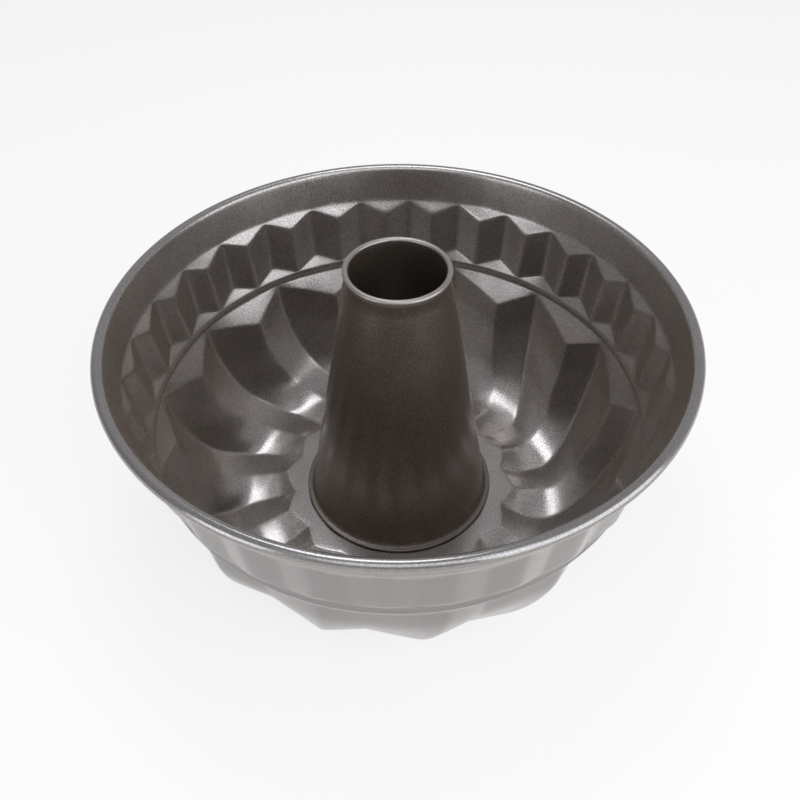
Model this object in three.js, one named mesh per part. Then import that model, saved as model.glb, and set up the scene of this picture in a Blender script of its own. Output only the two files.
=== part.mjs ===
// Gugelhupf pan: a deep-drawn shell with a rolled rim, a band of straight flutes and a dish of twisted
// flutes, and a tapered centre tube that is crimped into the hole of the shell's base plate.
// Millimetres, +Z up. The pan stands on Z = 0, on the flat lands under its channels.
import * as THREE from 'three';

// Sheet metal and the crimped seam
const shellSheet = 0.6;
const tubeSheet = 0.5;
const seamClearance = 0.3;

// Rolled rim, measured to the centre of the bead
const rimRadius = 108;
const rimHeight = 95;
const beadRadius = 2;
const beadStartAngle = -110;
const beadEndAngle = 180;
const beadSteps = 7;

// Collar under the rim, on the cake side
const collarRadius = 102.6;
const collarHeight = 82.2;

// Band of straight flutes: where its inward ridges start and where its outward valleys end
const bandRidgeRadius = 99.3;
const bandRidgeHeight = 76.6;
const bandValleyRadius = 98.1;
const bandValleyHeight = 60.8;
const bandFlutesPerFlute = 2;

// Upright ring between the band and the dish
const ringRadius = 95.4;
const ringHeight = 52.8;
const ringBandHeight = 2;

// Dish of twisted flutes. Its valleys and its ridges each follow a smooth line through stations, from the
// ring down the wall, over the heel and along the floor to the base plate. A station has its share of the
// dish's width inwards from the ring, its share of the dish's depth down, and its turn in degrees.
const fluteCount = 14;
const firstFluteAngle = 22.6;
const valleyStations = [
  [0, 0, 0],
  [0.024, 0.269, 0.6],
  [0.124, 0.552, 2.1],
  [0.279, 0.815, 5.4],
  [0.532, 1.01, 12.4],
  [0.787, 1.01, 14.8],
];
const ridgeStations = [
  [0.1, 0.228, -9.9],
  [0.173, 0.464, -9.1],
  [0.275, 0.673, -7.4],
  [0.402, 0.867, -3.6],
  [0.606, 0.961, 0.8],
  [0.767, 0.951, 2.2],
];
const lobeTurn = 14.2;
const cuspTurn = 2.6;
const dishSteps = 12;
const creaseDrop = 0.5;
const creaseShare = 0.01;

// How far the faces between valley and ridge are rounded towards the cake, half way down the dish
const narrowRounding = 0.12;
const wideRounding = 0.2;

// Flat lands that the pan stands on, beside the valleys. They reach their full width at the heel.
const landFlattening = 0.1;
const landShare = 0.25;
const landStart = 0.65;
const landGrowth = 4;

// Base plate. Its edge has lobes at the valleys and cusps at the ridges.
const plateHeight = 5;
const plateHoleRadius = 38;
const plateLand = 5.8;
const scallopDepth = 4.4;

// Centre tube
const tubeHeight = 118.7;
const lipRadius = 18.5;
const lipBeadRadius = 1.1;
const lipEndAngle = 235;
const lipNeck = 2.2;
const lipSteps = 8;
const coneTopRadius = 19;
const coneFootDrop = 0.6;
const coneFootRise = 1.2;
const flangeWidth = 1.6;
const crimpWidth = 2.5;
const hemLayers = 2;
const tubeSegments = 42;

// Sizes that follow from the ones above
const pitch = 360 / fluteCount;
const flangeRadius = plateHoleRadius + flangeWidth;
const lobeRadius = flangeRadius + plateLand;
const cuspRadius = lobeRadius + scallopDepth;
const sleeveRadius = plateHoleRadius - seamClearance;
const dishHeight = ringHeight - ringBandHeight / 2;
const floorHeight = shellSheet - landFlattening;

// Columns of the sheet in each big flute. In the dish the narrow face runs from the valley at column 0 to
// the ridge column, and the wide face from there to the next valley.
const columnsPerFlute = 8;
const ridgeColumn = 3;
const columns = fluteCount * columnsPerFlute;

const radians = THREE.MathUtils.degToRad;
const mix = THREE.MathUtils.lerp;

function coating(color) {
  return new THREE.MeshStandardMaterial({ color, roughness: 0.42, metalness: 0.6 });
}

// A row of the pressed sheet: the cake-side points of its valleys and its ridges as radius and height,
// and for each column how far it has turned from the flute's start and its weight between the two.
function bandRow(valley, ridge = valley) {
  const turns = [];
  const weights = [];
  for (let column = 0; column < columnsPerFlute; column += 1) {
    const share = column / columnsPerFlute;
    const phase = (share * bandFlutesPerFlute) % 1;
    turns.push(-share * pitch);
    weights.push(1 - Math.abs(1 - 2 * phase));
  }
  return { valley, ridge, turns, weights };
}

// In the dish a row joins a station of the valley line to one of the ridge line. The faces are rounded by
// the swell of the dish there, and a flat land may lie beside the valley.
function dishRow(valley, ridge, swell = 0, land = 0) {
  const turns = [];
  const weights = [];
  for (let column = 0; column < columnsPerFlute; column += 1) {
    const onNarrowFace = column <= ridgeColumn;
    const narrow = column / ridgeColumn;
    const wide = (column - ridgeColumn) / (columnsPerFlute - ridgeColumn);
    const rise = onNarrowFace ? narrow : Math.max(0, (1 - wide - land) / (1 - land));
    const rounding = onNarrowFace ? narrowRounding : wideRounding;
    turns.push(onNarrowFace ? mix(valley.z, ridge.z, narrow) : mix(ridge.z, valley.z - pitch, wide));
    weights.push(rise + rounding * swell * 4 * rise * (1 - rise));
  }
  const low = new THREE.Vector2(valley.x, valley.y);
  const high = new THREE.Vector2(ridge.x, ridge.y);
  return { valley: low, ridge: high, turns, weights };
}

// The rolled bead, from its free end under the rim, round the outside and over the top to the collar.
function rimRows() {
  const rows = [];
  for (let step = 0; step <= beadSteps; step += 1) {
    const angle = radians(mix(beadStartAngle, beadEndAngle, step / beadSteps));
    const radius = rimRadius + beadRadius * Math.cos(angle);
    const height = rimHeight + beadRadius * Math.sin(angle);
    rows.push(bandRow(new THREE.Vector2(radius, height)));
  }
  return rows;
}

// Collar, straight flutes and ring. A crease that meets a circle starts just below or above it.
function bandRows() {
  const collar = new THREE.Vector2(collarRadius, collarHeight);
  const ridgeTop = new THREE.Vector2(bandRidgeRadius, bandRidgeHeight);
  const valleyFoot = new THREE.Vector2(bandValleyRadius, bandValleyHeight);
  const ringTop = new THREE.Vector2(ringRadius, ringHeight + ringBandHeight / 2);
  const ringFoot = new THREE.Vector2(ringRadius, dishHeight);
  const valleyTop = collar.clone().lerp(valleyFoot, creaseDrop / collar.distanceTo(valleyFoot));
  const ridgeFoot = ringTop.clone().lerp(ridgeTop, creaseDrop / ringTop.distanceTo(ridgeTop));
  return [
    bandRow(collar),
    bandRow(valleyTop, ridgeTop),
    bandRow(valleyFoot, ridgeFoot),
    bandRow(ringTop),
    bandRow(ringFoot),
  ];
}

// A line of the dish through its stations to its end on the base plate, as radius, height and turn.
function dishLine(stations, endRadius, endTurn) {
  const points = stations.map(([inward, down, turn]) => new THREE.Vector3(
    mix(ringRadius, lobeRadius, inward),
    mix(dishHeight, floorHeight, down),
    turn,
  ));
  points.push(new THREE.Vector3(endRadius, plateHeight, endTurn));
  return new THREE.CatmullRomCurve3(points, false, 'catmullrom');
}

// Ledge triangles under the ring, then the twisted channels down the wall, along the floor and up the
// ramps to the edge of the base plate. The valleys are pressed flat on the floor.
function dishRows() {
  const valleyLine = dishLine(valleyStations, lobeRadius, lobeTurn);
  const ridgeLine = dishLine(ridgeStations, cuspRadius, cuspTurn);
  const rows = [dishRow(valleyLine.getPoint(creaseShare), ridgeLine.getPoint(0))];
  for (let step = 1; step <= dishSteps; step += 1) {
    const along = step / dishSteps;
    const valley = valleyLine.getPoint(along);
    valley.y = Math.max(valley.y, floorHeight);
    const land = landShare * Math.min(1, along / landStart) ** landGrowth;
    rows.push(dishRow(valley, ridgeLine.getPoint(along), Math.sin(Math.PI * along), land));
  }
  return rows;
}

// The base plate runs level from its scalloped edge to its hole.
function plateRow() {
  const valley = new THREE.Vector3(plateHoleRadius, plateHeight, lobeTurn);
  const ridge = new THREE.Vector3(plateHoleRadius, plateHeight, cuspTurn);
  return dishRow(valley, ridge, 0, landShare);
}

// Cake-side point of a row at a column counted round the pan.
function sheetPoint(row, column) {
  const flute = Math.floor(column / columnsPerFlute);
  const place = column % columnsPerFlute;
  const point = row.valley.clone().lerp(row.ridge, row.weights[place]);
  const angle = radians(firstFluteAngle + flute * pitch - row.turns[place]);
  return new THREE.Vector3(point.x * Math.cos(angle), point.x * Math.sin(angle), point.y);
}

// Outside point of the sheet, square to the pressed surface. The lands are pressed flat on the ground.
function outsidePoint(grid, row, column) {
  const above = grid[Math.max(row - 1, 0)][column];
  const below = grid[Math.min(row + 1, grid.length - 1)][column];
  const before = grid[row][(column + columns - 1) % columns];
  const after = grid[row][(column + 1) % columns];
  const downwards = below.clone().sub(above);
  const around = after.clone().sub(before);
  const normal = downwards.cross(around).normalize();
  const point = grid[row][column].clone().addScaledVector(normal, shellSheet);
  point.z = Math.max(point.z, 0);
  return point;
}

// The sheet's patches, each split along the shorter diagonal of its cake side.
function patchIndex(grid, section) {
  const index = [];
  for (let column = 0; column < columns; column += 1) {
    const next = (column + 1) % columns;
    for (let place = 0; place < section.length - 1; place += 1) {
      const a = column * section.length + place;
      const b = a + section.length;
      const c = b + 1;
      const d = a + 1;
      const from = grid[section[place]];
      const to = grid[section[place + 1]];
      if (from[column].distanceTo(to[next]) < from[next].distanceTo(to[column])) {
        index.push(a, b, c, a, c, d);
      } else {
        index.push(a, b, d, b, c, d);
      }
    }
  }
  return index;
}

// The shell is turned as a ring from its folded section, and each point is then pressed into the flutes:
// the cake side lies on the rows, and the outside stands off by the sheet.
function pressShell() {
  const rows = [...rimRows(), ...bandRows(), ...dishRows(), plateRow()];
  const grid = rows.map((row) => Array.from({ length: columns }, (_, column) => sheetPoint(row, column)));
  const inwardOrder = rows.map((_, index) => index);
  const outwardOrder = [...inwardOrder].reverse();
  const section = [...outwardOrder, ...inwardOrder, outwardOrder[0]];
  const geometry = new THREE.LatheGeometry(section.map((index) => rows[index].valley), columns);
  const position = geometry.attributes.position;
  for (let column = 0; column <= columns; column += 1) {
    const around = column % columns;
    section.forEach((row, place) => {
      const isOutside = place < rows.length || place === section.length - 1;
      const point = isOutside ? outsidePoint(grid, row, around) : grid[row][around];
      position.setXYZ(column * section.length + place, point.x, point.y, point.z);
    });
  }
  geometry.setIndex(patchIndex(grid, section));
  geometry.computeVertexNormals();
  return geometry;
}

// Section of the centre tube: the crimp under the plate, the hem on top of it, the cone and the curled lip.
function tubeProfile() {
  const profile = [];
  const add = (radius, height) => profile.push(new THREE.Vector2(radius, height));
  const crimpTop = plateHeight - shellSheet - seamClearance;
  const crimpRadius = plateHoleRadius + crimpWidth;
  const hemFoot = plateHeight + seamClearance;
  const hemTop = hemFoot + hemLayers * tubeSheet;
  const hemRounding = tubeSheet / 2;
  const coneFootRadius = sleeveRadius - coneFootDrop;
  const coneFootHeight = hemTop + coneFootRise;
  const lipHeight = tubeHeight - lipBeadRadius;
  const lipCore = lipBeadRadius - tubeSheet;
  const lipStartAngle = THREE.MathUtils.radToDeg(Math.asin(-lipCore / lipBeadRadius));
  const addLipPoint = (bead, step) => {
    const angle = radians(mix(lipStartAngle, lipEndAngle, step / lipSteps));
    add(lipRadius + bead * Math.cos(angle), lipHeight + bead * Math.sin(angle));
  };
  add(sleeveRadius - tubeSheet, crimpTop - tubeSheet);
  add(crimpRadius, crimpTop - tubeSheet);
  add(crimpRadius, crimpTop);
  add(sleeveRadius, crimpTop);
  add(sleeveRadius, hemFoot);
  add(flangeRadius - hemRounding, hemFoot);
  add(flangeRadius, hemFoot + hemRounding);
  add(flangeRadius, hemTop - hemRounding);
  add(flangeRadius - hemRounding, hemTop);
  add(sleeveRadius + hemRounding, hemTop);
  add(coneFootRadius, coneFootHeight);
  add(coneTopRadius, lipHeight - lipNeck);
  for (let step = 0; step <= lipSteps; step += 1) {
    addLipPoint(lipBeadRadius, step);
  }
  for (let step = lipSteps; step >= 0; step -= 1) {
    addLipPoint(lipCore, step);
  }
  add(coneTopRadius - tubeSheet, lipHeight - lipNeck);
  add(coneFootRadius - tubeSheet, coneFootHeight);
  add(sleeveRadius - tubeSheet, hemTop);
  profile.push(profile[0].clone());
  return profile;
}

function turnTube() {
  const geometry = new THREE.LatheGeometry(tubeProfile(), tubeSegments);
  geometry.rotateX(Math.PI / 2);
  return geometry;
}

const panShell = new THREE.Mesh(pressShell(), coating(0x4b4641));
panShell.name = 'pan_shell';

const centreTube = new THREE.Mesh(turnTube(), coating(0x45403b));
centreTube.name = 'centre_tube';

const pan = new THREE.Group();
pan.add(panShell, centreTube);

export default pan;
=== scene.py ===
# Gugelhupf pan: the pressed shell and the centre tube, with their coating, floor, lights and camera.
# Sizes of the metal are in millimetres on the cake side of the sheet, as the pan's maker would give them.
import math

import bpy
import numpy as np
from mathutils import Matrix, Vector


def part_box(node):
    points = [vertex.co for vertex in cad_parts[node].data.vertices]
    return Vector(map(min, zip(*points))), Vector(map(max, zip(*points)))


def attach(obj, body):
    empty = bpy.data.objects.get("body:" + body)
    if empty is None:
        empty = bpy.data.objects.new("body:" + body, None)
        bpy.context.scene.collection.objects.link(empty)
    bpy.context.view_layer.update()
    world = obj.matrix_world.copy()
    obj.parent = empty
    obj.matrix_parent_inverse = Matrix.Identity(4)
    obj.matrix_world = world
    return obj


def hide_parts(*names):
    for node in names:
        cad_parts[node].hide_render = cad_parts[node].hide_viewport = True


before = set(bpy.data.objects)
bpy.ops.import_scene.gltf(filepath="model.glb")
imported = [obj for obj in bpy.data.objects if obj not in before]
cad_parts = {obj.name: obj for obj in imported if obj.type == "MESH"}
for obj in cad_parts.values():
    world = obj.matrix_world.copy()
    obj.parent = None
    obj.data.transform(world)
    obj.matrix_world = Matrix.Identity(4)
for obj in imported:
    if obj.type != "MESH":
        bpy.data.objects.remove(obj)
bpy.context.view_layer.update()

MM = 0.001

# Sheet metal and the crimped seam
SHELL_SHEET = 0.6
TUBE_SHEET = 0.5
SEAM_CLEARANCE = 0.3

# Rolled rim, measured to the centre of the bead. Its height comes from the top of the shell's solid.
# The roll is slightly fuller than the bead of that solid, with the same outside.
BEAD_RADIUS = 2.0
RIM_RADIUS = 108.0
RIM_HEIGHT = round(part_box("pan_shell")[1].z / MM - BEAD_RADIUS, 1)
BEAD_END_ANGLE = -110.0
ROLL_RADIUS = 2.2
ROLL_COLLAR_ANGLE = 165.0
COLLAR = (102.6, RIM_HEIGHT - 12.8)

# Band of straight flutes: where its ridges start and where its valleys end
BAND_RIDGE = (99.3, RIM_HEIGHT - 18.4)
BAND_VALLEY = (99.2, RIM_HEIGHT - 35.2)

# Upright ring between the band and the dish, with a fine bead along both its edges
RING = (95.4, RIM_HEIGHT - 41.9)
RING_BAND_HEIGHT = 3.2
RING_LEAN = 0.5
RING_BEAD = 0.25
RING_FOOT_BEAD = 0.125

# Dish of twisted flutes. Valleys and ridges follow smooth lines through stations from the ring to the plate.
# A station has its share of the dish's width inwards, its share of the dish's depth down, and its turn.
FLUTE_COUNT = 14
FIRST_FLUTE_ANGLE = 22.6
FLOOR_HEIGHT = 0.5
VALLEY_STATIONS = (
    (-0.014, 0.0, 0.0), (0.024, 0.269, 0.6), (0.124, 0.552, 2.1),
    (0.279, 0.815, 5.4), (0.532, 1.008, 12.4), (0.72, 1.002, 14.4), (0.88, 0.968, 14.8),
)
RIDGE_STATIONS = (
    (0.118, 0.212, -9.9), (0.173, 0.464, -9.1), (0.275, 0.673, -7.4),
    (0.402, 0.867, -3.6), (0.606, 0.957, 0.8), (0.73, 0.955, 1.9), (0.83, 0.941, 2.4),
)
LOBE_TURN = 14.2
CUSP_TURN = 2.6
NARROW_ROUNDING = 0.05
WIDE_ROUNDING = 0.2
# The wide face ends in a flat land that grows on the way down.
LAND_SHARE = 0.06
LAND_START = 0.65
LAND_GROWTH = 4
DISH_CREASE = 0.01

# Small step that keeps the corners of the triangles above and under the band apart from its straight lines
CREASE_DROP = 0.5
CREASE_SHARE = 0.02

# Base plate. Its edge has lobes at the valleys and cusps at the ridges.
PLATE_HEIGHT = 5.0
HOLE_RADIUS = 38.0
FLANGE_WIDTH = 1.6
PLATE_LAND = 5.8
SCALLOP_DEPTH = 4.4
LOBE_RADIUS = HOLE_RADIUS + FLANGE_WIDTH + PLATE_LAND
CUSP_RADIUS = LOBE_RADIUS + SCALLOP_DEPTH

# Centre tube. Its height comes from the top of its solid.
TUBE_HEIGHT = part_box("centre_tube")[1].z / MM
LIP_RADIUS = 18.5
LIP_BEAD_RADIUS = 1.1
LIP_END_ANGLE = 235.0
CONE_TOP_RADIUS = 19.0
CONE_FOOT_DROP = 0.6
CONE_FOOT_RISE = 1.2
CRIMP_WIDTH = 2.5

# Mesh density of the shell: columns round it, and rows along its section
COLUMNS_PER_FLUTE = 24
CREASE_CROWDING = 0.75
ROLL_ROWS = 28
COLLAR_ROWS = 9
TRIANGLE_ROWS = 8
BAND_ROWS = 12
RING_ROWS = 13
LEDGE_ROWS = 9
DISH_ROWS = 52
DISH_ROW_CROWDING = 0.8
PLATE_ROWS = 6
MERGE_DISTANCE = 0.005

# Rounding of the pressed creases: passes of smoothing, and its share on the ring and at the channels' ends.
# The share falls off over a stretch of the way down the dish.
PRESS_PASSES = 3
RING_SOFTNESS = 0.3
END_SOFTNESS = 0.33
END_SOFTNESS_START = 0.6
END_SOFTNESS_STRETCH = 0.2

# Mesh density of the tube: segments round it, and points along its section
TUBE_SEGMENTS = 160
CRIMP_POINTS = 7
HEM_POINTS = 11
FILLET_POINTS = 8
CONE_POINTS = 24
LIP_POINTS = 20
LIP_INSIDE_POINTS = 16
SHARP_EDGE_ANGLE = 40

# Coating: scales of its noises, the flakes' range from dark to light, and the orange peel's depth
FLAKE_SCALE = 1600.0
CLOUD_SCALE = 38.0
PEEL_SCALE = 1400.0
CLOUD_SHARE = 0.15
DARK_FLAKES = 0.36
LIGHT_FLAKES = 0.64
ROUGHNESS_SPREAD = 0.04
PEEL_DEPTH = 0.08
PEEL_STRENGTH = 0.35
COAT_WEIGHT = 0.5
COAT_ROUGHNESS = 0.22
SHEEN_WEIGHT = 0.045
WARM_SHEEN = (1.0, 0.66, 0.38)

# Share of the speckle on the rolled rim, and what the plain metal outside and the lip's painted highlight
# keep of it
RIM_SPECKLE = 0.4
RIM_SPECKLE_START = 0.8
PLAIN_FLAKES = 0.25
PLAIN_PEEL_STRENGTH = 0.12

# Camera, from a fit of the rim, the ring line, the flutes and the tube to the photograph's 800 by 800 frame
FOCAL_PIXELS = 880.6
IMAGE_PIXELS = 800.0
SENSOR_WIDTH = 36.0
CAMERA_DISTANCE = 3.013 * RIM_RADIUS
CAMERA_ELEVATION = 39.57
CAMERA_PITCH = 44.76
CAMERA_YAW = 0.15
CAMERA_ROLL = -0.25

# Studio, in metres: the floor, how white it looks directly and in the metal, and the room's two sides
COOL_WHITE = (0.955, 0.985, 1.06)
FLOOR_REACH = 3.0
FLOOR_COLOUR = (0.94, 0.91, 0.86)
FLOOR_ROUGHNESS = 0.8
FLOOR_WHITE_SEEN = 0.75
FLOOR_WHITE_MIRRORED = 0.25
UNDER_TUBE_RADIUS = 0.04
CLEAR_FLOOR_RADIUS = 0.06
ROOM_LEFT_END = -0.95
ROOM_LEFT_START = -0.5
ROOM_LEFT_STRENGTH = 0.32
ROOM_STRENGTH = 0.5


def mix(a, b, t):
    return a + (b - a) * t


def eased(count, ends=0.6):
    """Steps from 0 to 1, closer together near both ends."""
    t = np.linspace(0, 1, count)
    return t - ends * np.sin(2 * math.pi * t) / (2 * math.pi)


class Section:
    """Rows of the pressed sheet.

    A row has the radius, height and turn of the valley and of the ridge, and how the faces between them lie.
    """

    def __init__(self):
        self.rows = []

    def add(self, valley, ridge=None, dish=0.0, swell=0.0, land=0.0, soft=1.0):
        self.rows.append((*valley, *(valley if ridge is None else ridge), dish, swell, land, soft))

    def between(self, start, end, count, dish=0.0, soft=1.0):
        """Rows on straight lines between two pairs of points, without the first pair."""
        for t in eased(count)[1:]:
            valley = mix(np.array(start[0]), np.array(end[0]), t)
            ridge = mix(np.array(start[1]), np.array(end[1]), t)
            self.add(valley, ridge, dish, soft=soft)


def smooth_line(points, t):
    """Point at a share t of a smooth line through evenly counted points."""
    points = np.array(points)
    place = min(t, 1.0) * (len(points) - 1)
    index = min(int(place), len(points) - 2)
    ahead = np.vstack([2 * points[0] - points[1], points, 2 * points[-1] - points[-2]])
    a, b, c, d = ahead[index:index + 4]
    u = place - index
    return (
        b + 0.5 * u * (c - a)
        + u**2 * (a - 2.5 * b + 2 * c - 0.5 * d)
        + 0.5 * u**3 * (3 * b - a - 3 * c + d)
    )


def dish_line(stations, end_radius, end_turn):
    """Points of a line of the dish, as radius, height and turn."""
    foot = RING[1] - RING_BAND_HEIGHT / 2
    points = [
        (mix(RING[0], LOBE_RADIUS, inward), mix(foot, FLOOR_HEIGHT, down), turn)
        for inward, down, turn in stations
    ]
    return points + [(end_radius, PLATE_HEIGHT, end_turn)]


def shell_section():
    """The whole section of the shell, from the free end of the rim's roll to the plate's hole."""
    section = Section()
    inset = ROLL_RADIUS - BEAD_RADIUS
    for angle in np.radians(np.linspace(BEAD_END_ANGLE, ROLL_COLLAR_ANGLE, ROLL_ROWS)):
        radius = RIM_RADIUS - inset + ROLL_RADIUS * math.cos(angle)
        height = RIM_HEIGHT - inset + ROLL_RADIUS * math.sin(angle)
        section.add((radius, height, 0.0), soft=0.0)
    collar_top = (radius, height, 0.0)
    collar = (*COLLAR, 0.0)
    band_ridge = (*BAND_RIDGE, 0.0)
    band_valley = (*BAND_VALLEY, 0.0)
    ring_top = (RING[0] + RING_LEAN, RING[1] + RING_BAND_HEIGHT / 2, 0.0)
    valley_top = (mix(COLLAR[0], BAND_VALLEY[0], CREASE_SHARE), COLLAR[1] - CREASE_DROP, 0.0)
    ridge_foot = (mix(ring_top[0], BAND_RIDGE[0], CREASE_SHARE), ring_top[1] + CREASE_DROP, 0.0)
    section.between((collar_top, collar_top), (collar, collar), COLLAR_ROWS)
    section.between((collar, collar), (valley_top, band_ridge), TRIANGLE_ROWS)
    section.between((valley_top, band_ridge), (band_valley, ridge_foot), BAND_ROWS)
    section.between((band_valley, ridge_foot), (ring_top, ring_top), TRIANGLE_ROWS)
    valley_line = dish_line(VALLEY_STATIONS, LOBE_RADIUS, LOBE_TURN)
    ridge_line = dish_line(RIDGE_STATIONS, CUSP_RADIUS, CUSP_TURN)
    ring_foot = smooth_line(valley_line, 0.0)
    first_turn = RIDGE_STATIONS[0][2]
    for t in np.linspace(0, 1, RING_ROWS)[1:]:
        bead = mix(RING_BEAD, RING_FOOT_BEAD, t) * max(0.0, math.cos(2 * math.pi * t)) ** 2
        radius = mix(RING[0], ring_foot[0], t) + RING_LEAN * (1 - t) ** 3 + bead
        height = mix(ring_top[1], ring_foot[1], t)
        section.add((radius, height, 0.0), (radius, height, first_turn), dish=t, soft=RING_SOFTNESS)
    ledge = (ring_foot, (*ring_foot[:2], first_turn))
    dish_top = (smooth_line(valley_line, DISH_CREASE), smooth_line(ridge_line, 0.0))
    section.between(ledge, dish_top, LEDGE_ROWS, dish=1.0)
    for t in eased(DISH_ROWS, DISH_ROW_CROWDING)[1:]:
        valley = smooth_line(valley_line, mix(DISH_CREASE, 1.0, t))
        valley[1] = max(valley[1], FLOOR_HEIGHT)
        land = LAND_SHARE * min(1.0, t / LAND_START) ** LAND_GROWTH
        ended = min(1.0, max(0.0, (t - END_SOFTNESS_START) / END_SOFTNESS_STRETCH))
        soft = mix(1.0, END_SOFTNESS, ended)
        section.add(valley, smooth_line(ridge_line, t), 1.0, math.sin(math.pi * t), land, soft)
    # The plate is flat, and its rim round the hole stays a true circle.
    for t in np.linspace(0, 1, PLATE_ROWS)[1:]:
        valley = (mix(LOBE_RADIUS, HOLE_RADIUS, t), PLATE_HEIGHT, LOBE_TURN)
        ridge = (mix(CUSP_RADIUS, HOLE_RADIUS, t), PLATE_HEIGHT, CUSP_TURN)
        section.add(valley, ridge, 1.0, land=LAND_SHARE, soft=END_SOFTNESS if t < 1 else 0.0)
    return section.rows


class Nodes:
    """Adds nodes to a tree and links sockets, or sets plain values, in one step."""

    def __init__(self, tree):
        self.tree = tree

    def add(self, kind, **settings):
        node = self.tree.nodes.new(kind)
        for name, value in settings.items():
            setattr(node, name, value)
        return node

    def feed(self, socket, value):
        if isinstance(value, bpy.types.NodeSocket):
            self.tree.links.new(value, socket)
        else:
            socket.default_value = value

    def math(self, operation, a, b=0.0):
        node = self.add("ShaderNodeMath", operation=operation)
        self.feed(node.inputs[0], a)
        self.feed(node.inputs[1], b)
        return node.outputs[0]

    def blend(self, a, b, share):
        """a at share 0, b at share 1."""
        difference = self.math("SUBTRACT", b, a)
        return self.math("ADD", a, self.math("MULTIPLY", difference, share))


ROW_FIELDS = (
    "valley_radius", "valley_height", "valley_turn", "ridge_radius", "ridge_height", "ridge_turn",
    "dish", "swell", "land", "softness",
)


def section_object(rows):
    """The section as a chain of points that carry what the flute press needs to know at each row."""
    data = bpy.data.meshes.new("shell_section")
    points = [(row[0] * MM, 0.0, row[1] * MM) for row in rows]
    data.from_pydata(points, [(i, i + 1) for i in range(len(rows) - 1)], [])
    for column, name in enumerate(ROW_FIELDS):
        values = np.array([row[column] for row in rows], dtype=np.float32)
        if name.endswith(("radius", "height")):
            values *= MM
        data.attributes.new(name, "FLOAT", "POINT").data.foreach_set("value", values)
    piece = bpy.data.objects.new("pressed_shell", data)
    bpy.context.scene.collection.objects.link(piece)
    return piece


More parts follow.
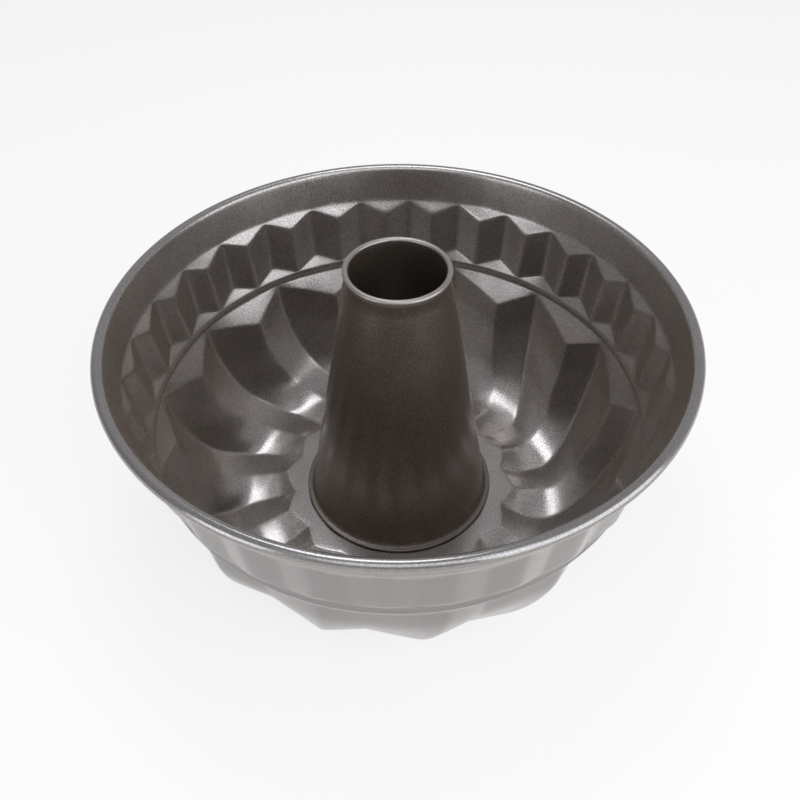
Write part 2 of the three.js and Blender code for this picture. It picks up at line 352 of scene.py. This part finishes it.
def flute_press():
    """Geometry Nodes tree that sweeps a section round the pan and presses the flutes into it."""
    tree = bpy.data.node_groups.new("flute_press", "GeometryNodeTree")
    face = tree.interface
    face.new_socket("Section", in_out="INPUT", socket_type="NodeSocketGeometry")
    for name, kind in (
        ("Flute Count", "NodeSocketInt"),
        ("Columns per Flute", "NodeSocketInt"),
        ("Rows", "NodeSocketInt"),
        ("First Flute Angle", "NodeSocketFloat"),
        ("Narrow Rounding", "NodeSocketFloat"),
        ("Wide Rounding", "NodeSocketFloat"),
        ("Crease Crowding", "NodeSocketFloat"),
        ("Press Passes", "NodeSocketInt"),
        ("Merge Distance", "NodeSocketFloat"),
        ("Material", "NodeSocketMaterial"),
    ):
        face.new_socket(name, in_out="INPUT", socket_type=kind)
    face.new_socket("Shell", in_out="OUTPUT", socket_type="NodeSocketGeometry")
    n = Nodes(tree)
    given = n.add("NodeGroupInput").outputs
    columns = n.math("MULTIPLY", given["Flute Count"], given["Columns per Flute"])
    grid = n.add("GeometryNodeMeshGrid")
    n.feed(grid.inputs["Size X"], 1.0)
    n.feed(grid.inputs["Size Y"], 1.0)
    n.feed(grid.inputs["Vertices X"], n.math("ADD", columns, 1.0))
    n.feed(grid.inputs["Vertices Y"], given["Rows"])
    place = n.add("ShaderNodeSeparateXYZ")
    n.feed(place.inputs[0], n.add("GeometryNodeInputPosition").outputs[0])
    around = n.math("ADD", place.outputs["X"], 0.5)
    last_row = n.math("SUBTRACT", given["Rows"], 1.0)
    row = n.math("ROUND", n.math("MULTIPLY", n.math("ADD", place.outputs["Y"], 0.5), last_row))

    def at_row(name):
        named = n.add("GeometryNodeInputNamedAttribute", data_type="FLOAT")
        named.inputs["Name"].default_value = name
        sample = n.add("GeometryNodeSampleIndex", data_type="FLOAT", domain="POINT")
        n.feed(sample.inputs["Geometry"], given["Section"])
        n.feed(sample.inputs["Value"], named.outputs["Attribute"])
        n.feed(sample.inputs["Index"], row)
        return sample.outputs["Value"]

    field = {name: at_row(name) for name in ROW_FIELDS}
    # Columns stand closer together at the creases, which lie at each quarter of a flute.
    quarters = n.math("MULTIPLY", n.math("MULTIPLY", around, given["Flute Count"]), 4.0)
    wave = n.math("SINE", n.math("MULTIPLY", quarters, 2 * math.pi))
    pull = n.math("MULTIPLY", n.math("DIVIDE", given["Crease Crowding"], 2 * math.pi), wave)
    flutes = n.math("MULTIPLY", n.math("SUBTRACT", quarters, pull), 0.25)
    flute = n.math("FLOOR", flutes)
    within = n.math("SUBTRACT", flutes, flute)
    # Straight flutes of the band: two to each big flute, with even faces.
    half = n.math("FRACT", n.math("MULTIPLY", within, 2.0))
    from_ridge = n.math("ABSOLUTE", n.math("SUBTRACT", n.math("MULTIPLY", half, 2.0), 1.0))
    band_weight = n.math("SUBTRACT", 1.0, from_ridge)
    # Twisted flutes of the dish: a narrow face up to the ridge, then a wide one that may end in a flat land.
    on_wide = n.math("GREATER_THAN", within, 0.5)
    narrow = n.math("MULTIPLY", within, 2.0)
    wide = n.math("SUBTRACT", narrow, 1.0)
    left = n.math("SUBTRACT", n.math("SUBTRACT", 1.0, wide), field["land"])
    fall = n.math("MAXIMUM", n.math("DIVIDE", left, n.math("SUBTRACT", 1.0, field["land"])), 0.0)
    rise = n.blend(narrow, fall, on_wide)
    rounding = n.blend(given["Narrow Rounding"], given["Wide Rounding"], on_wide)
    bow = n.math("MULTIPLY", n.math("MULTIPLY", rise, n.math("SUBTRACT", 1.0, rise)), 4.0)
    bulge = n.math("MULTIPLY", n.math("MULTIPLY", rounding, field["swell"]), bow)
    weight = n.blend(band_weight, n.math("ADD", rise, bulge), field["dish"])
    pitch = n.math("DIVIDE", 360.0, given["Flute Count"])
    next_turn = n.math("SUBTRACT", field["valley_turn"], pitch)
    narrow_turn = n.blend(field["valley_turn"], field["ridge_turn"], narrow)
    wide_turn = n.blend(field["ridge_turn"], next_turn, wide)
    dish_turn = n.blend(narrow_turn, wide_turn, on_wide)
    band_turn = n.math("MULTIPLY", n.math("MULTIPLY", within, pitch), -1.0)
    turn = n.blend(band_turn, dish_turn, field["dish"])
    turned = n.math("ADD", given["First Flute Angle"], n.math("MULTIPLY", flute, pitch))
    angle = n.math("RADIANS", n.math("SUBTRACT", turned, turn))
    radius = n.blend(field["valley_radius"], field["ridge_radius"], weight)
    height = n.blend(field["valley_height"], field["ridge_height"], weight)
    pressed = n.add("ShaderNodeCombineXYZ")
    n.feed(pressed.inputs["X"], n.math("MULTIPLY", radius, n.math("COSINE", angle)))
    n.feed(pressed.inputs["Y"], n.math("MULTIPLY", radius, n.math("SINE", angle)))
    n.feed(pressed.inputs["Z"], height)
    keep = n.add("GeometryNodeStoreNamedAttribute", data_type="FLOAT", domain="POINT")
    keep.inputs["Name"].default_value = "softness"
    n.feed(keep.inputs["Geometry"], grid.outputs["Mesh"])
    n.feed(keep.inputs["Value"], field["softness"])
    press = n.add("GeometryNodeSetPosition")
    n.feed(press.inputs["Geometry"], keep.outputs["Geometry"])
    n.feed(press.inputs["Position"], pressed.outputs[0])
    merge = n.add("GeometryNodeMergeByDistance")
    n.feed(merge.inputs["Geometry"], press.outputs["Geometry"])
    n.feed(merge.inputs["Distance"], given["Merge Distance"])
    # Pressed sheet has no knife edges: the creases are rounded by a few passes of smoothing.
    soft = n.add("GeometryNodeInputNamedAttribute", data_type="FLOAT")
    soft.inputs["Name"].default_value = "softness"
    blur = n.add("GeometryNodeBlurAttribute", data_type="FLOAT_VECTOR")
    n.feed(blur.inputs["Value"], n.add("GeometryNodeInputPosition").outputs[0])
    n.feed(blur.inputs["Iterations"], given["Press Passes"])
    n.feed(blur.inputs["Weight"], soft.outputs["Attribute"])
    round_off = n.add("GeometryNodeSetPosition")
    n.feed(round_off.inputs["Geometry"], merge.outputs["Geometry"])
    n.feed(round_off.inputs["Position"], blur.outputs["Value"])
    smooth = n.add("GeometryNodeSetShadeSmooth")
    n.feed(smooth.inputs["Geometry"], round_off.outputs["Geometry"])
    real = n.add("GeometryNodeRealizeInstances")
    n.feed(real.inputs["Geometry"], smooth.outputs["Geometry"])
    finish = n.add("GeometryNodeSetMaterial")
    n.feed(finish.inputs["Geometry"], real.outputs["Geometry"])
    n.feed(finish.inputs["Material"], given["Material"])
    result = n.add("NodeGroupOutput")
    n.feed(result.inputs["Shell"], finish.outputs["Geometry"])
    return tree


def set_input(modifier, name, value):
    """Sets an input of a Geometry Nodes modifier by its socket's identifier."""
    for item in modifier.node_group.interface.items_tree:
        if item.item_type == "SOCKET" and item.in_out == "INPUT" and item.name == name:
            modifier[item.identifier] = value


def settle(piece, name):
    """Turns a piece with modifiers into a plain mesh object of that name."""
    evaluated = piece.evaluated_get(bpy.context.evaluated_depsgraph_get())
    data = bpy.data.meshes.new_from_object(evaluated)
    data.name = name
    bpy.data.objects.remove(piece)
    plain = bpy.data.objects.new(name, data)
    bpy.context.scene.collection.objects.link(plain)
    return plain


def pressed_shell(finish):
    """The deep-drawn shell: section, flute press, then the thickness of the sheet on the outside."""
    rows = shell_section()
    piece = section_object(rows)
    press = piece.modifiers.new("flutes", "NODES")
    press.node_group = flute_press()
    for name, value in (
        ("Flute Count", FLUTE_COUNT),
        ("Columns per Flute", COLUMNS_PER_FLUTE),
        ("Rows", len(rows)),
        ("First Flute Angle", FIRST_FLUTE_ANGLE),
        ("Narrow Rounding", NARROW_ROUNDING),
        ("Wide Rounding", WIDE_ROUNDING),
        ("Crease Crowding", CREASE_CROWDING),
        ("Press Passes", PRESS_PASSES),
        ("Merge Distance", MERGE_DISTANCE * MM),
        ("Material", finish),
    ):
        set_input(press, name, value)
    sheet = piece.modifiers.new("sheet", "SOLIDIFY")
    sheet.thickness = SHELL_SHEET * MM
    sheet.offset = -1.0
    sheet.use_even_offset = True
    sheet.use_quality_normals = True
    shell = settle(piece, "pan_shell_pressed")
    dress_shell(shell.data)
    return shell


def dress_shell(data):
    """Finishes the outside of the sheet and marks the side with the speckled coating.

    The cake side is the first half of the mesh's points, and the outside follows in the same order.
    """
    count = len(data.vertices)
    half = count // 2
    places = np.empty(3 * count, dtype=np.float32)
    data.vertices.foreach_get("co", places)
    places = places.reshape(count, 3)
    softness = np.empty(count, dtype=np.float32)
    data.attributes["softness"].data.foreach_get("value", softness)
    reach = np.hypot(places[:, 0], places[:, 1])
    # The ring stands upright, so its outside is the same line one sheet further out.
    ring = np.flatnonzero(np.isclose(softness[:half], RING_SOFTNESS))
    grown = (reach[ring] + SHELL_SHEET * MM) / reach[ring]
    places[half + ring, :2] = places[ring, :2] * grown[:, None]
    places[half + ring, 2] = places[ring, 2]
    # The lands under the channels are flat on the ground.
    places[:, 2] = np.maximum(places[:, 2], 0.0)
    data.vertices.foreach_set("co", places.ravel())
    # The speckle covers the cake side, is fainter on the rolled rim and is missing outside.
    speckle = np.zeros(count, dtype=np.float32)
    rim_start = (RIM_RADIUS - RIM_SPECKLE_START * BEAD_RADIUS) * MM
    speckle[:half] = np.where(reach[:half] < rim_start, 1.0, RIM_SPECKLE)
    mark_speckle(data, speckle)
    data.update()


def mark_speckle(data, values):
    data.attributes.new("speckle", "FLOAT", "POINT").data.foreach_set("value", values)


def arc(centre, radius, start, end, count):
    """Points on an arc of a section, with angles in degrees."""
    return [
        (centre[0] + radius * math.cos(angle), centre[1] + radius * math.sin(angle))
        for angle in np.radians(np.linspace(start, end, count))
    ]


def tube_section():
    """Closed section of the tube: the crimp under the plate, the hem on it, the cone and the curled lip."""
    sleeve = HOLE_RADIUS - SEAM_CLEARANCE
    flange = HOLE_RADIUS + FLANGE_WIDTH
    crimp_top = PLATE_HEIGHT - SHELL_SHEET - SEAM_CLEARANCE
    crimp_edge = HOLE_RADIUS + CRIMP_WIDTH
    hem_foot = PLATE_HEIGHT + SEAM_CLEARANCE
    hem_top = hem_foot + 2 * TUBE_SHEET
    hem_middle = (hem_foot + hem_top) / 2
    cone_foot = sleeve - CONE_FOOT_DROP
    cone_foot_height = hem_top + CONE_FOOT_RISE
    lip_height = TUBE_HEIGHT - LIP_BEAD_RADIUS
    cone_top_height = lip_height - 2 * LIP_BEAD_RADIUS
    half_sheet = TUBE_SHEET / 2
    points = [(sleeve - TUBE_SHEET, crimp_top - TUBE_SHEET)]
    points += arc((crimp_edge - half_sheet, crimp_top - half_sheet), half_sheet, -90, 90, CRIMP_POINTS)
    points += [(sleeve, crimp_top), (sleeve, hem_foot)]
    points += arc((flange - TUBE_SHEET, hem_middle), TUBE_SHEET, -90, 90, HEM_POINTS)
    fillet = [(sleeve + half_sheet, hem_top), (sleeve, hem_top), (cone_foot, cone_foot_height)]
    for t in np.linspace(0, 1, FILLET_POINTS):
        first = mix(np.array(fillet[0]), np.array(fillet[1]), t)
        second = mix(np.array(fillet[1]), np.array(fillet[2]), t)
        points.append(tuple(mix(first, second, t)))
    for t in np.linspace(0, 1, CONE_POINTS)[1:]:
        points.append((mix(cone_foot, CONE_TOP_RADIUS, t), mix(cone_foot_height, cone_top_height, t)))
    lip_start = math.degrees(math.asin(-(LIP_BEAD_RADIUS - TUBE_SHEET) / LIP_BEAD_RADIUS))
    lip = (LIP_RADIUS, lip_height)
    points += arc(lip, LIP_BEAD_RADIUS, lip_start, LIP_END_ANGLE, LIP_POINTS)
    points += arc(lip, LIP_BEAD_RADIUS - TUBE_SHEET, LIP_END_ANGLE, lip_start, LIP_INSIDE_POINTS)
    for t in np.linspace(0, 1, CONE_POINTS):
        height = mix(cone_top_height, cone_foot_height, t)
        points.append((mix(CONE_TOP_RADIUS, cone_foot, t) - TUBE_SHEET, height))
    points.append((sleeve - TUBE_SHEET, hem_top))
    return points


def turned(name, section, segments, finish):
    """A piece turned about the Z axis from a closed section that runs up its outside."""
    count = len(section)
    angles = np.linspace(0, 2 * math.pi, segments, endpoint=False)
    points = [
        (radius * math.cos(angle) * MM, radius * math.sin(angle) * MM, height * MM)
        for angle in angles
        for radius, height in section
    ]
    faces = []
    for segment in range(segments):
        after = (segment + 1) % segments
        for index in range(count):
            up = (index + 1) % count
            faces.append((
                segment * count + index, after * count + index, after * count + up, segment * count + up,
            ))
    data = bpy.data.meshes.new(name)
    data.from_pydata(points, [], faces)
    data.polygons.foreach_set("use_smooth", [True] * len(faces))
    data.set_sharp_from_angle(angle=math.radians(SHARP_EDGE_ANGLE))
    data.materials.append(finish)
    # The lip is painted lighter than the rest of the tube, as a painted highlight along its curl.
    lip_foot = TUBE_HEIGHT - 2 * LIP_BEAD_RADIUS
    below_lip = [float(height < lip_foot) for _, height in section]
    mark_speckle(data, np.tile(below_lip, segments))
    piece = bpy.data.objects.new(name, data)
    bpy.context.scene.collection.objects.link(piece)
    return piece


def coated_metal(name, dark, light, plain, roughness, plain_roughness):
    """Satin non-stick coating over steel: fine metallic flakes, slow tone changes and a faint orange peel.

    Where the mesh's speckle is 0, the plain colour and roughness show, with fainter flakes and orange peel.
    """
    material = bpy.data.materials.new(name)
    material.use_nodes = True
    n = Nodes(material.node_tree)
    shader = material.node_tree.nodes["Principled BSDF"]
    place = n.add("ShaderNodeTexCoord").outputs["Object"]

    def noise(scale, detail, rough):
        node = n.add("ShaderNodeTexNoise")
        n.feed(node.inputs["Vector"], place)
        n.feed(node.inputs["Scale"], scale)
        n.feed(node.inputs["Detail"], detail)
        n.feed(node.inputs["Roughness"], rough)
        return node.outputs["Fac"]

    flakes = noise(FLAKE_SCALE, 2.0, 0.6)
    clouds = noise(CLOUD_SCALE, 3.0, 0.5)
    peel = noise(PEEL_SCALE, 2.0, 0.6)
    ramp = n.add("ShaderNodeValToRGB")
    ramp.color_ramp.elements[0].position = DARK_FLAKES
    ramp.color_ramp.elements[0].color = (*dark, 1.0)
    ramp.color_ramp.elements[1].position = LIGHT_FLAKES
    ramp.color_ramp.elements[1].color = (*light, 1.0)
    n.feed(ramp.inputs["Fac"], n.blend(flakes, clouds, CLOUD_SHARE))
    speckle = n.add("ShaderNodeAttribute", attribute_name="speckle").outputs["Fac"]
    tint = n.add("ShaderNodeMix", data_type="RGBA")
    n.feed(tint.inputs["Factor"], n.blend(PLAIN_FLAKES, 1.0, speckle))
    n.feed(tint.inputs["A"], (*plain, 1.0))
    n.feed(tint.inputs["B"], ramp.outputs["Color"])
    n.feed(shader.inputs["Base Color"], tint.outputs["Result"])
    gloss = n.add("ShaderNodeMapRange")
    n.feed(gloss.inputs["Value"], clouds)
    n.feed(gloss.inputs["From Min"], 0.3)
    n.feed(gloss.inputs["From Max"], 0.7)
    n.feed(gloss.inputs["To Min"], roughness - ROUGHNESS_SPREAD)
    n.feed(gloss.inputs["To Max"], roughness + ROUGHNESS_SPREAD)
    plain_change = n.blend(plain_roughness - roughness, 0.0, speckle)
    n.feed(shader.inputs["Roughness"], n.math("ADD", gloss.outputs["Result"], plain_change))
    bump = n.add("ShaderNodeBump")
    n.feed(bump.inputs["Strength"], n.blend(PLAIN_PEEL_STRENGTH, PEEL_STRENGTH, speckle))
    n.feed(bump.inputs["Distance"], PEEL_DEPTH * MM)
    n.feed(bump.inputs["Height"], peel)
    n.feed(shader.inputs["Normal"], bump.outputs["Normal"])
    shader.inputs["Metallic"].default_value = 0.9
    shader.inputs["Coat Weight"].default_value = COAT_WEIGHT
    shader.inputs["Coat Roughness"].default_value = COAT_ROUGHNESS
    shader.inputs["Sheen Weight"].default_value = SHEEN_WEIGHT
    shader.inputs["Sheen Roughness"].default_value = 1.0
    shader.inputs["Sheen Tint"].default_value = (*WARM_SHEEN, 1.0)
    return material


def white_floor():
    """A plain white floor that keeps the pan's shadow."""
    data = bpy.data.meshes.new("floor")
    corners = [(x * FLOOR_REACH, y * FLOOR_REACH, 0) for x, y in ((-1, -1), (1, -1), (1, 1), (-1, 1))]
    data.from_pydata(corners, [], [(0, 1, 2, 3)])
    floor = bpy.data.objects.new("floor", data)
    bpy.context.scene.collection.objects.link(floor)
    paint = bpy.data.materials.new("white_floor")
    paint.use_nodes = True
    n = Nodes(paint.node_tree)
    shader = paint.node_tree.nodes["Principled BSDF"]
    shader.inputs["Base Color"].default_value = (*FLOOR_COLOUR, 1.0)
    shader.inputs["Roughness"].default_value = FLOOR_ROUGHNESS
    # Seen directly or in the metal, the floor is whiter, so that its shadow stays light.
    # Under the tube it keeps its own colour.
    path = n.add("ShaderNodeLightPath")
    mirrored = n.math("MAXIMUM", path.outputs["Is Glossy Ray"], path.outputs["Is Transmission Ray"])
    direct = n.math("MULTIPLY", path.outputs["Is Camera Ray"], FLOOR_WHITE_SEEN)
    seen = n.math("MAXIMUM", direct, n.math("MULTIPLY", mirrored, FLOOR_WHITE_MIRRORED))
    place = n.add("ShaderNodeVectorMath", operation="LENGTH")
    n.feed(place.inputs[0], n.add("ShaderNodeTexCoord").outputs["Object"])
    clear = n.add("ShaderNodeMapRange", interpolation_type="SMOOTHSTEP")
    n.feed(clear.inputs["Value"], place.outputs["Value"])
    n.feed(clear.inputs["From Min"], UNDER_TUBE_RADIUS)
    n.feed(clear.inputs["From Max"], CLEAR_FLOOR_RADIUS)
    white = n.add("ShaderNodeEmission")
    both = n.add("ShaderNodeMixShader")
    n.feed(both.inputs["Fac"], n.math("MULTIPLY", seen, clear.outputs["Result"]))
    n.feed(both.inputs[1], shader.outputs[0])
    n.feed(both.inputs[2], white.outputs[0])
    n.feed(paint.node_tree.nodes["Material Output"].inputs["Surface"], both.outputs[0])
    data.materials.append(paint)


def studio_room():
    """A plain cool white room that is darker on the left."""
    world = bpy.data.worlds.new("studio")
    world.use_nodes = True
    n = Nodes(world.node_tree)
    sky = world.node_tree.nodes["Background"]
    sky.inputs["Color"].default_value = (*COOL_WHITE, 1.0)
    direction = n.add("ShaderNodeSeparateXYZ")
    n.feed(direction.inputs[0], n.add("ShaderNodeTexCoord").outputs["Generated"])
    side = n.add("ShaderNodeMapRange", interpolation_type="SMOOTHSTEP")
    n.feed(side.inputs["Value"], direction.outputs["X"])
    n.feed(side.inputs["From Min"], ROOM_LEFT_END)
    n.feed(side.inputs["From Max"], ROOM_LEFT_START)
    n.feed(side.inputs["To Min"], ROOM_LEFT_STRENGTH)
    n.feed(side.inputs["To Max"], ROOM_STRENGTH)
    n.feed(sky.inputs["Strength"], side.outputs["Result"])
    bpy.context.scene.world = world


def softbox(name, place, target, size, power):
    """A rectangular lamp that the camera doesn't see, turned to a target. Places and sizes are in metres."""
    lamp = bpy.data.lights.new(name, "AREA")
    lamp.shape = "RECTANGLE"
    lamp.size, lamp.size_y = size
    lamp.energy = power
    lamp.color = COOL_WHITE
    holder = bpy.data.objects.new(name, lamp)
    holder.location = place
    holder.rotation_euler = (Vector(target) - Vector(place)).to_track_quat("-Z", "Y").to_euler()
    holder.visible_camera = False
    bpy.context.scene.collection.objects.link(holder)


def camera():
    """The photograph's camera, in front of the pan and above it."""
    data = bpy.data.cameras.new("camera")
    data.sensor_width = SENSOR_WIDTH
    data.lens = FOCAL_PIXELS / IMAGE_PIXELS * SENSOR_WIDTH
    data.clip_start = 0.01
    eye = bpy.data.objects.new("camera", data)
    elevation, pitch, yaw, roll = np.radians((CAMERA_ELEVATION, CAMERA_PITCH, CAMERA_YAW, CAMERA_ROLL))
    back = CAMERA_DISTANCE * math.cos(elevation)
    rise = CAMERA_DISTANCE * math.sin(elevation)
    place = Vector((0.0, -back, RIM_HEIGHT + rise))
    ahead = Vector((math.sin(yaw) * math.cos(pitch), math.cos(yaw) * math.cos(pitch), -math.sin(pitch)))
    level = ahead.cross(Vector((0, 0, 1))).normalized()
    upright = level.cross(ahead)
    right = level * math.cos(roll) + upright * math.sin(roll)
    above = upright * math.cos(roll) - level * math.sin(roll)
    turn = Matrix((right, above, -ahead)).transposed().to_4x4()
    eye.matrix_world = Matrix.Translation(place * MM) @ turn
    bpy.context.scene.collection.objects.link(eye)
    bpy.context.scene.camera = eye


shell_finish = coated_metal(
    "shell_coating",
    dark=(0.222, 0.206, 0.192),
    light=(0.408, 0.381, 0.357),
    plain=(0.23, 0.233, 0.237),
    roughness=0.28,
    plain_roughness=0.14,
)
tube_finish = coated_metal(
    "tube_coating",
    dark=(0.102, 0.085, 0.072),
    light=(0.2, 0.17, 0.148),
    # On this tube the plain colour shows only on the lip, as its painted highlight.
    plain=(0.36, 0.335, 0.31),
    roughness=0.38,
    plain_roughness=0.38,
)

shell = pressed_shell(shell_finish)
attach(shell, "root")
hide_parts("pan_shell")

tube = turned("centre_tube_turned", tube_section(), TUBE_SEGMENTS, tube_finish)
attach(tube, "root")
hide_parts("centre_tube")

white_floor()
studio_room()
softbox("overhead_lamp", (-0.05, 0.15, 0.59), (0, 0, 0.03), (0.22, 0.24), 0.75)
softbox("right_front_softbox", (0.80, -0.54, 0.38), (0, 0, 0.06), (1.15, 0.85), 6.5)
softbox("left_front_softbox", (-0.74, -0.62, 0.26), (0, 0, 0.06), (0.45, 0.6), 2.0)
softbox("front_softbox", (0.12, -0.70, 0.92), (0, 0, 0.06), (1.1, 0.7), 3.4)
camera()
bpy.context.scene.view_settings.view_transform = "Standard"
